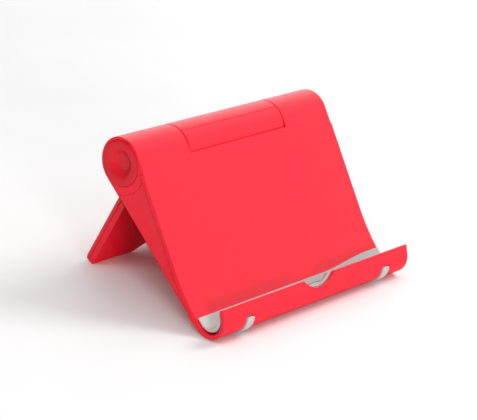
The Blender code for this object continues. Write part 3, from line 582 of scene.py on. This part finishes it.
# Where long faces are split: beside the feet and the notch, and for the liner also short of its ends
FENCES = [side * FOOT_X + off for side in (-1, 1) for off in (-FOOT_WIDTH, FOOT_WIDTH)]
FENCES += [side * NOTCH_RADIUS for side in (-1, 1)]
LINER_END_FENCE = HALF_WIDTH - LINER_INSET - RELIEF_LENGTH - 1 * MM
LINER_FENCES = FENCES + [side * LINER_END_FENCE for side in (-1, 1)]


def shell_skin():
    """Barrel, front plate, trough and lip as one bent section."""
    meeting = math.acos((BARREL_RADIUS - PLATE_WALL) / BARREL_RADIUS)
    barrel = arc(AXIS, BARREL_RADIUS, meeting, 2 * math.pi, 110)
    pocket = pocket_path(BEND_DROP, 0.0, 16, 32)
    lip = [lip_point(BORE, LIP_DROP), lip_point(TROUGH_RADIUS, LIP_DROP)]
    underside = arc(TROUGH, TROUGH_RADIUS, LIP_LEAN, TROUGH_HEEL, 30)
    top = COVER_END_DROP + GAP
    heel = [point for point in reversed(heel_path(16)) if point[0] > top + GAP][1:]
    heel.append((top, back_reach(top) + HEEL_STEP))
    inner = front_path(top, BEND_DROP, -PLATE_WALL, 8)
    return barrel + pocket + lip + underside + heel + inner


def side_wall(side):
    """The wall that closes one side of the panel."""
    back = [(BARREL_RADIUS * math.sin(TAPER), -BARREL_RADIUS * math.cos(TAPER))] + heel_path(16)
    buried = PLATE_WALL / 2
    _, join = pocket_turn(TROUGH, 0.0)
    turn_in = arc(TROUGH, BORE + buried, TROUGH_HEEL, join, 5)
    front = front_path(TROUGH_DROP, BEND_DROP, -buried, 12) + [(2.0 * MM, BARREL_RADIUS - buried)]
    crown = arc(AXIS, BARREL_RADIUS - CROWN_DEPTH, math.radians(12), TAPER - math.pi, 40)
    outer = HALF_WIDTH - SIDE_INSET
    ends = sorted((side * outer, side * (outer - SIDE_WALL)))
    return side_slab("side_wall", back + turn_in + front + crown, *ends)


def end_boss(side):
    """The round pad around the barrel's end, which stands proud of the side wall below it."""
    inset = 0.1 * MM
    front_turn = math.asin((BARREL_RADIUS - PLATE_WALL / 2) / BOSS_RADIUS)
    back_turn = math.acos((BARREL_RADIUS - inset) / BOSS_RADIUS)
    rim = arc(AXIS, BOSS_RADIUS, math.pi / 2 - front_turn, math.pi - TAPER - back_turn, 36)
    crown_radius = BARREL_RADIUS - CROWN_DEPTH + inset
    crown = arc(AXIS, crown_radius, math.pi - TAPER, 2 * math.pi + math.radians(10), 48)
    outer = HALF_WIDTH - BARREL_INSET
    ends = sorted((side * outer, side * (outer - BOSS_THICKNESS)))
    return side_slab("end_boss", rim + crown, *ends)


def side_cove(side):
    """A hollow curve that carries the recessed side wall out to the plate's rim."""
    wall, rim, buried = HALF_WIDTH - SIDE_INSET, HALF_WIDTH, PLATE_WALL / 2
    path = front_path(FLANGE_DROP, BEND_DROP, 0.0, 4)[:-1] + pocket_path(BEND_DROP, 0.0, 16, 1)[:-1]
    steps = 8
    section = []
    for i in range(steps + 1):
        t = i / steps
        section.append((wall + (rim - wall) * t * t, buried + COVE_DEPTH * (1 - t)))
    section += [(wall - COVE_TUCK, buried), (wall - COVE_TUCK, buried + COVE_DEPTH)]
    shape = bmesh.new()
    loops = []
    for drop, reach in path:
        slope = math.asin(max(0.0, drop - BEND_DROP) / BEND_RADIUS)
        thickness = reach - back_reach(drop)
        room = min(1.0, (thickness - COVE_BACK_CLEARANCE) / (COVE_DEPTH + PLATE_WALL))
        loop = []
        for x, depth in section:
            depth *= room
            point = (side * x, -(reach - depth * math.cos(slope)), -(drop + depth * math.sin(slope)))
            loop.append(shape.verts.new(point))
        loops.append(loop)
    count = len(section)
    for first, second in zip(loops, loops[1:]):
        for i in range(count):
            j = (i + 1) % count
            shape.faces.new((first[i], first[j], second[j], second[i]))
    shape.faces.new(loops[0])
    shape.faces.new(loops[-1])
    bmesh.ops.recalc_face_normals(shape, faces=shape.faces)
    mesh = bpy.data.meshes.new("side_cove")
    shape.to_mesh(mesh)
    shape.free()
    return holder("side_cove", mesh)


def back_face(x, drop, depth):
    """A turn that puts something square to the panel's back face, depth under it, facing out."""
    out = Vector((0, math.cos(TAPER), -math.sin(TAPER)))
    place = Vector((x, -back_reach(drop), -drop)) - out * depth
    return Matrix.Translation(place) @ Matrix.Rotation(-(math.pi / 2 + TAPER), 4, "X")


def foot_sector(name, x, margin, inner, outer):
    """A curved block through the trough's wall: a liner foot, or its slot if margin is the gap around it."""
    half_width, corner = FOOT_WIDTH / 2 + margin, FOOT_CORNER + margin
    early, late = FOOT_START - math.radians(45), FOOT_END + margin / TROUGH_RADIUS
    path = arc(TROUGH, inner, early, late, 36) + arc(TROUGH, outer, late, early, 36)
    made = side_slab(name, path, x - half_width, x + half_width)
    shoulder, wide = half_width + SLIVER - corner, 2 * half_width
    turns = [math.pi / 2 * i / 14 for i in range(15)]
    keep = [(shoulder + corner * math.cos(t), margin - corner + corner * math.sin(t)) for t in turns]
    keep += [(-shoulder - corner * math.sin(t), margin - corner + corner * math.cos(t)) for t in turns]
    keep += [(-wide, margin - corner), (-wide, -FAR / 4), (wide, -FAR / 4), (wide, margin - corner)]
    drop, reach = polar(TROUGH, (inner + outer) / 2, FOOT_START)
    turn = Matrix.Translation((x, -reach, -drop)) @ Matrix.Rotation(math.pi / 2 + FOOT_START, 4, "X")
    return combine(made, "INTERSECT", slab(f"{name}_end", keep, FAR / 4, turn))


def notch(radius):
    """The round bite out of the lip's middle, where a cable passes."""
    drop = LIP_DROP + NOTCH_DEPTH - NOTCH_RADIUS
    place = Matrix.Translation((0, -(TROUGH_REACH + 7.5 * MM), -drop))
    return rod("notch", radius, 8 * MM, place @ Matrix.Rotation(math.pi / 2, 4, "X"), 160)


def make_shell(red):
    shell = side_slab("shell_moulding", shell_skin(), -HALF_WIDTH, HALF_WIDTH)
    reach = BARREL_RADIUS + PAST
    barrel_end = HALF_WIDTH - BARREL_INSET
    for side in (-1, 1):
        ends = sorted((side * barrel_end, side * FAR))
        back_of_plate = PLATE_WALL - BARREL_RADIUS - SLIVER
        cut(shell, block("end_trim", (ends[0], -reach, -FLANGE_DROP), (ends[1], reach, reach)),
            block("barrel_trim", (ends[0], back_of_plate, -reach), (ends[1], reach, reach - 1 * MM)))
        add(shell, side_wall(side), end_boss(side), side_cove(side))
    for x, drop in COVER_SCREWS:
        depth = (BARREL_RADIUS - PLATE_WALL / 2 - back_reach(drop)) * math.cos(TAPER)
        top = COVER_WALL + GAP
        add(shell, rod("boss", SCREW_BOSS, depth - top, back_face(x, drop, (depth + top) / 2), 32))
    window = WINDOW_WIDTH / 2
    low = (-window, -BARREL_RADIUS - 2 * MM, -WINDOW_DROP)
    cut(shell, x_rod("window", BARREL_RADIUS + WINDOW_CLEARANCE, -window, window, 128),
        block("window_sill", low, (window, -BARREL_RADIUS / 2, 0)))
    for side in (-1, 1):
        bore = sorted((side * (window + BULKHEAD), side * FAR))
        wide = sorted((side * (barrel_end - CAP_SEAT_DEPTH), side * FAR))
        cut(shell, x_rod("bore", BARREL_RADIUS - BARREL_WALL, *bore),
            x_rod("seat", CAP_RADIUS + CAP_PLAY, *wide))
        cut(shell, foot_sector("slot", side * FOOT_X, GAP, BORE - 1 * MM, TROUGH_RADIUS + 2 * MM))
    cut(shell, x_rod("bolt_hole", BOLT_RADIUS + GAP, -FAR / 4, FAR / 4, 32), notch(NOTCH_RADIUS))
    for x, drop in COVER_SCREWS:
        turn = back_face(x, drop, COVER_SCREW_LENGTH / 2 + COVER_SINK)
        cut(shell, rod("pilot", SCREW_THREAD + GAP, COVER_SCREW_LENGTH, turn, 20))
    looks = (red, "red_shell", ["front_shell"], SHELL_ROUNDING)
    return finish_piece(shell, "panel", *looks, segments=3, fences=FENCES)


def make_rear_cover(red):
    """The pan behind the front plate: a floor, and two rails beside the leg."""
    front_gap = PLATE_WALL + GAP
    start, end, bend = COVER_START_DROP, COVER_END_DROP, BEND_DROP
    back_offset = -front_gap - COVER_WALL
    floor = [(start, front_reach(start, -front_gap))] + front_path(bend, end, -front_gap, 8)
    floor += front_path(end, bend, back_offset, 8) + [(start, front_reach(start, back_offset))]
    rail = RECESS_HALF_WIDTH + COVER_WALL
    cover = side_slab("rear_cover_moulding", floor, -rail, rail)
    clear = BARREL_RADIUS + GAP
    top = math.pi - TAPER - math.acos(BARREL_RADIUS / clear) - math.radians(14)
    crown = arc(AXIS, clear, top, math.radians(62), 16)
    back = [point for point in heel_path(16) if point[0] < end]
    back.append((end, back_reach(end) + COVER_HEEL_STEP))
    crest = (crown[0][0], back_reach(crown[0][0]))
    for side in (-1, 1):
        inner = sorted((side * RECESS_HALF_WIDTH, side * rail))
        buried = -front_gap - COVER_WALL / 2
        web = [(start + 0.1 * MM, front_reach(start, buried))] + list(reversed(crown)) + [crest] + back
        web += front_path(end - 0.1 * MM, bend, buried, 8)
        add(cover, side_slab("web", web, *inner))
        depth = COVER_WALL / math.cos(TAPER)
        strip = [(drop, reach + depth) for drop, reach in reversed(back)]
        outline = [crest] + back + strip + [(clear * 0.9, back_reach(clear * 0.9) + depth), crown[0]]
        edge = HALF_WIDTH - SIDE_INSET - SIDE_WALL - GAP
        wide = sorted((side * (RECESS_HALF_WIDTH + 0.5 * MM), side * edge))
        add(cover, side_slab("rail_back", outline, *wide))
    for x, drop in COVER_SCREWS:
        cut(cover, rod("hole", SCREW_THREAD + GAP, 6 * MM, back_face(x, drop, COVER_WALL), 24),
            rod("sink", SCREW_HEAD + GAP, 2.4 * MM, back_face(x, drop, COVER_SINK - 1.2 * MM), 40))
    return finish_piece(cover, "panel", red, "red_shell", ["rear_cover"], COVER_ROUNDING)


def make_liner(silicone):
    """The soft lining, raised at its right-hand end, with two feet that come through the shell."""
    outer = BORE - GAP
    inner, _ = pocket_turn(LINER_CENTRE, GAP + LINER_BACK_WALL)
    top = LINER_DROP - LINER_RISE
    over_top = top - 2 * MM
    outline = pocket_path(over_top, GAP, 8, 36) + [lip_point(outer, LIP_DROP)]
    outline += [lip_point(inner, LIP_DROP, LINER_CENTRE)]
    outline += list(reversed(pocket_path(over_top, GAP + LINER_BACK_WALL, 8, 35, LINER_CENTRE)))
    end = HALF_WIDTH - LINER_INSET
    liner = side_slab("liner_moulding", outline, -end, end)
    ease = [(i / 24, (3 - 2 * i / 24) * (i / 24) ** 2) for i in range(25)]
    run = LINER_RISE_END - LINER_RISE_START
    gentle_top = LINER_DROP - LINER_GENTLE_RISE
    edge = [(LINER_RISE_START + run * t, gentle_top - (gentle_top - top) * rise) for t, rise in ease]
    above = top - PAST
    trim = [(-FAR / 2, LINER_DROP), (-end, LINER_DROP)] + edge
    trim += [(FAR / 2, top), (FAR / 2, above), (-FAR / 2, above)]
    cut(liner, front_slab("top_edge", trim, 2.5 * MM - TROUGH_REACH, -BARREL_RADIUS))
    shift = RELIEF_DEPTH * 0.7
    centre = (TROUGH_DROP - shift, TROUGH_REACH - shift)
    floor, outside, over_lip = outer - RELIEF_DEPTH, BORE + 1 * MM, top - 4 * MM
    relief = arc(centre, floor, RELIEF_START, LIP_LEAN, 41)
    relief += [lip_point(floor, over_lip, centre), lip_point(outside, over_lip)]
    relief += arc(TROUGH, outside, LIP_LEAN, RELIEF_START, 30)
    for side in (-1, 1):
        ends = sorted((side * (end - RELIEF_LENGTH), side * FAR))
        cut(liner, side_slab("relief", relief, *ends))
    cut(liner, notch(NOTCH_RADIUS - NOTCH_LINER_STEP))
    for side in (-1, 1):
        add(liner, foot_sector("foot", side * FOOT_X, 0.0, outer - 0.5 * MM, TROUGH_RADIUS + FOOT_PROUD))
    looks = (silicone, "grey_silicone", ["cradle_liner"], LINER_ROUNDING)
    return finish_piece(liner, "panel", *looks, segments=3, fences=LINER_FENCES)


def make_cap(name, side, red, node):
    """A dished cap with a rounded ring around it."""
    plug = BARREL_RADIUS - BARREL_WALL - GAP
    inside, back = plug - CAP_WALL, -CAP_WALL - CAP_DISH
    face = [(0.0, -CAP_DISH)]
    for i in range(13):
        t = i / 12
        radius = CAP_FLOOR_RADIUS + (CAP_DISH_RADIUS - CAP_FLOOR_RADIUS) * t
        face.append((radius, -CAP_DISH + (CAP_DISH + CAP_EDGE) * (3 - 2 * t) * t * t))
    half = (CAP_RADIUS - CAP_DISH_RADIUS) / 2
    for i in range(1, 17):
        t = math.pi * i / 16
        height = CAP_EDGE * (1 - i / 16) - CAP_SETBACK * i / 16 + (CAP_CREST - CAP_EDGE) * math.sin(t)
        face.append((CAP_DISH_RADIUS + half * (1 - math.cos(t)), height))
    body = [(CAP_RADIUS, -CAP_SEAT_DEPTH + GAP), (plug, -CAP_SEAT_DEPTH + GAP), (plug, -CAP_SKIRT)]
    body += [(inside, -CAP_SKIRT), (inside, back), (0.0, back)]
    end = side * (HALF_WIDTH - BARREL_INSET)
    turn = Matrix.Translation((end, 0, 0)) @ Matrix.Rotation(side * math.pi / 2, 4, "Y")
    cap = lathe(name, face + body, turn, 128)
    return finish_piece(cap, "panel", red, "red_shell", [node], 0)


# ---------------------------------------------------------------- leg


def leg_blank(name):
    """The whole leg as one solid: a plate with a rounded foot, and the knuckle cylinder at its head."""
    half = LEG_THICKNESS / 2
    toe_centre = (LEG_LENGTH - LEG_TOE_RADIUS, half - LEG_TOE_RADIUS)
    heel_centre = (LEG_LENGTH - LEG_EDGE_RADIUS, LEG_EDGE_RADIUS - half)
    toe = arc(toe_centre, LEG_TOE_RADIUS, 0.0, math.pi / 2, 6)
    heel = arc(heel_centre, LEG_EDGE_RADIUS, math.pi / 2, math.pi, 12)
    outline = [(0.0, half)] + toe + heel + [(0.0, -half)]
    blank = side_slab(name, outline, -LEG_WIDTH / 2, LEG_WIDTH / 2)
    radius = LEG_EDGE_RADIUS
    right, rear = LEG_WIDTH / 2 - radius, half - radius
    section = [(-LEG_WIDTH / 2, -half), (LEG_WIDTH / 2, -half)]
    turns = [math.radians(7.5 * i) for i in range(13)]
    section += [(right + radius * math.cos(t), rear + radius * math.sin(t)) for t in turns]
    section += [(-right - radius * math.sin(t), rear + radius * math.cos(t)) for t in turns]
    combine(blank, "INTERSECT", slab("section", section, 2 * FAR, Matrix.Identity(4)))
    for side in (-1, 1):
        ends = sorted((side * NECK_WIDTH / 2, side * FAR))
        cut(blank, block("shoulder", (ends[0], -FAR, -LEG_SHOULDER_DROP), (ends[1], FAR, FAR)))
    ease = [(i / 20, (3 - 2 * i / 20) * (i / 20) ** 2) for i in range(21)]
    run = ARCH_HALF_WIDTH * 0.5
    rise = [(-ARCH_HALF_WIDTH + run * t, LEG_LENGTH - ARCH_RISE * up) for t, up in ease]
    fall = [(-x, drop) for x, drop in reversed(rise)]
    below = LEG_LENGTH + PAST
    arch = rise + fall + [(ARCH_HALF_WIDTH, below), (-ARCH_HALF_WIDTH, below)]
    cut(blank, front_slab("arch", arch, -FAR, FAR))
    return add(blank, x_rod("knuckle", BARREL_RADIUS, -KNUCKLE_WIDTH / 2, KNUCKLE_WIDTH / 2, 128))


def make_leg_half(name, side, red, node):
    """One half of the clamshell: side 1 is the rear shell and side -1 the cover that faces the panel."""
    half = leg_blank(name)
    split = sorted((side * LEG_SEAM / 2, -side * FAR))
    cut(half, block("split", (-FAR, split[0], -FAR), (FAR, split[1], FAR)))
    window = WINDOW_WIDTH / 2
    cut(half, x_rod("sleeve_bore", SLEEVE_RADIUS + GAP, -FAR, FAR, 40))
    for end in (-1, 1):
        floor = end * (window - GAP - DISC_THICKNESS - GAP)
        cut(half, x_rod("disc_seat", DISC_RADIUS + GAP, *sorted((floor, end * FAR)), 64))
    upright = Matrix.Rotation(math.pi / 2, 4, "X")
    for x, drop in LEG_SCREWS:
        place = Matrix.Translation((x, 0, -drop)) @ upright
        if side > 0:
            cut(half, rod("pilot", SCREW_THREAD + GAP, 2 * 1.6 * MM, place, 20))
            continue
        sunk = Matrix.Translation((x, -LEG_THICKNESS / 2, -drop)) @ upright
        cut(half, rod("hole", SCREW_THREAD + GAP, 2 * LEG_THICKNESS, place, 20),
            rod("sink", SCREW_HEAD + GAP, 2 * LEG_SINK, sunk, 40))
    return finish_piece(half, "leg", red, "red_shell", [node], LEG_ROUNDING)


def make_screw(name, length, turn, body, steel, node):
    """A pan-head screw with a cross recess, turned to face out of its hole."""
    rim = 0.35
    turns = [math.radians(9 * i) for i in range(11)]
    dome = [(SCREW_HEAD * math.sin(t), SCREW_HEAD_HEIGHT * (rim + (1 - rim) * math.cos(t))) for t in turns]
    tip = SCREW_THREAD * 0.5
    shank = [(SCREW_HEAD, 0.0), (SCREW_THREAD, 0.0), (SCREW_THREAD, tip - length)]
    shank += [(tip, -length), (0.0, -length)]
    screw = lathe(name, dome + shank, Matrix.Identity(4), 48)
    reach = SCREW_HEAD * 0.56
    for angle in (SCREW_CROSS_TURN, SCREW_CROSS_TURN + math.pi / 2):
        low = (-reach, -SCREW_SLOT / 2, SCREW_HEAD_HEIGHT * rim)
        recess = block("recess", low, (reach, SCREW_SLOT / 2, SCREW_HEAD_HEIGHT * 3))
        recess.data.transform(Matrix.Rotation(angle, 4, "Z"))
        cut(screw, recess)
    screw.data.transform(turn)
    return finish_piece(screw, body, steel, "zinc_steel", [node], SCREW_ROUNDING, 1)


def make_screws(steel):
    for number, (x, drop) in enumerate(COVER_SCREWS, 1):
        turn = back_face(x, drop, COVER_SINK - GAP)
        name, node = f"cover_pan_screw_{number}", f"cover_screw_{number}"
        make_screw(name, COVER_SCREW_LENGTH, turn, "panel", steel, node)
    upright = Matrix.Rotation(math.pi / 2, 4, "X")
    for number, (x, drop) in enumerate(LEG_SCREWS, 1):
        turn = Matrix.Translation((x, -LEG_THICKNESS / 2 + LEG_SINK - GAP, -drop)) @ upright
        name, node = f"leg_pan_screw_{number}", f"leg_screw_{number}"
        make_screw(name, LEG_SCREW_LENGTH, turn, "leg", steel, node)


def dress_hinge(steel, nylon):
    """The CAD's own hinge hardware keeps its shape and gets its finish."""
    for name, made in frame["nodes"].items():
        slot = next(part["material_slot"] for part in record["subparts"] if part["node"] == name)
        finish = {"zinc_steel": steel, "natural_nylon": nylon}.get(slot)
        if finish:
            made.data.materials.clear()
            made.data.materials.append(finish)


# ---------------------------------------------------------------- studio


STUDIO_MIDDLE = Vector((0, 0, 0.03))
KEY_DIRECTION = Vector((0.60, -0.30, 0.75)).normalized()
MIRRORED_SIDE = (1.0, -0.3, 0.1)


def soft_light(name, direction, size, share, in_reflections=False):
    """A round soft light a metre away. It adds its share of a white surface's full brightness."""
    data = bpy.data.lights.new(name, "AREA")
    data.shape = "DISK"
    data.size = size
    data.energy = share * math.pi**2
    lamp = holder(name, data)
    lamp.location = STUDIO_MIDDLE + Vector(direction).normalized()
    lamp.rotation_euler = Vector(direction).to_track_quat("Z", "Y").to_euler()
    lamp.visible_glossy = in_reflections


class RoomLight:
    """The world's nodes: brightness as a function of direction."""

    def __init__(self, world):
        self.nodes, self.links = world.node_tree.nodes, world.node_tree.links
        self.direction = self.nodes.new("ShaderNodeTexCoord").outputs["Generated"]
        self.ray = self.nodes.new("ShaderNodeLightPath").outputs

    def fade(self, toward, start, end, low, high):
        """Brightness from low to high as a direction turns toward the given one."""
        along = self.nodes.new("ShaderNodeVectorMath")
        along.operation = "DOT_PRODUCT"
        along.inputs[1].default_value = Vector(toward).normalized()
        self.links.new(self.direction, along.inputs[0])
        scale = self.nodes.new("ShaderNodeMapRange")
        for key, value in (("From Min", start), ("From Max", end), ("To Min", low), ("To Max", high)):
            scale.inputs[key].default_value = value
        self.links.new(along.outputs["Value"], scale.inputs["Value"])
        return scale.outputs["Result"]

    def choose(self, ray, chosen, otherwise):
        """chosen for that kind of ray, otherwise for the others."""
        mix = self.nodes.new("ShaderNodeMix")
        self.links.new(self.ray[ray], mix.inputs["Factor"])
        self.links.new(otherwise, mix.inputs["A"])
        if isinstance(chosen, float):
            mix.inputs["B"].default_value = chosen
        else:
            self.links.new(chosen, mix.inputs["B"])
        return mix.outputs["Result"]


def soft_room():
    """White to the camera. Its light fades away from the key, and mirrored it is bright on one side only."""
    world = bpy.data.worlds.new("studio")
    world.use_nodes = True
    room = RoomLight(world)
    lit = room.fade(KEY_DIRECTION, -1.0, 1.0, 0.10, 0.80)
    mirrored = room.fade(MIRRORED_SIDE, -0.6, 0.45, 0.06, 1.05)
    strength = room.choose("Is Camera Ray", 1.0, room.choose("Is Glossy Ray", mirrored, lit))
    backdrop = world.node_tree.nodes["Background"]
    backdrop.inputs["Color"].default_value = (1.0, 1.0, 1.0, 1.0)
    world.node_tree.links.new(strength, backdrop.inputs["Strength"])
    bpy.context.scene.world = world


def make_studio():
    shape = bmesh.new()
    bmesh.ops.create_grid(shape, x_segments=1, y_segments=1, size=3.0)
    mesh = bpy.data.meshes.new("floor")
    shape.to_mesh(mesh)
    shape.free()
    floor = holder("floor", mesh)
    floor.data.materials.append(pale_floor())
    soft_room()
    soft_light("key", KEY_DIRECTION, 0.5, 0.46)
    soft_light("top_fill", (-0.55, 0.0, 0.83), 0.4, 0.15)
    soft_light("low_fill", (-0.48, -0.86, 0.17), 0.3, 0.50)
    soft_light("crest", (0.72, 0.50, 0.40), 0.9, 0.14, True)


CAMERA_TARGET = Vector((-4.44, -1.76, 27.42)) * MM
CAMERA_AZIMUTH = math.radians(-49.89)
CAMERA_ELEVATION = math.radians(21.2)
CAMERA_ROLL = math.radians(6.0)
CAMERA_DISTANCE = 716.7 * MM
CAMERA_LENS = 146.0


def make_camera():
    data = bpy.data.cameras.new("camera")
    data.lens = CAMERA_LENS
    data.sensor_width = 36.0
    data.clip_start = 0.05
    camera = bpy.data.objects.new("camera", data)
    bpy.context.scene.collection.objects.link(camera)
    turn = Matrix.Rotation(CAMERA_AZIMUTH, 4, "Z") @ Matrix.Rotation(math.pi / 2 - CAMERA_ELEVATION, 4, "X")
    turn = turn @ Matrix.Rotation(CAMERA_ROLL, 4, "Z")
    back = Matrix.Translation((0, 0, CAMERA_DISTANCE))
    camera.matrix_world = Matrix.Translation(CAMERA_TARGET) @ turn @ back
    bpy.context.scene.camera = camera
    bpy.context.scene.view_settings.view_transform = "Standard"


# ---------------------------------------------------------------- the whole scene


def main():
    red = red_plastic("red_abs")
    steel = zinc_steel()
    nylon = natural_nylon()
    make_shell(red)
    make_rear_cover(red)
    make_liner(grey_silicone())
    # The caps get a darker copy of the red ABS: painted shade for their dished faces, set back in the barrel's
    # ends.
    shaded_cap_red = red_plastic("red_abs_cap_painted_shade", 0.80)
    make_cap("left_dished_cap", -1, shaded_cap_red, "left_end_cap")
    make_cap("right_dished_cap", 1, shaded_cap_red, "right_end_cap")
    make_leg_half("leg_rear_moulding", 1, red, "leg_rear_shell")
    make_leg_half("leg_front_moulding", -1, red, "leg_front_cover")
    make_screws(steel)
    dress_hinge(steel, nylon)
    make_studio()
    make_camera()


main()
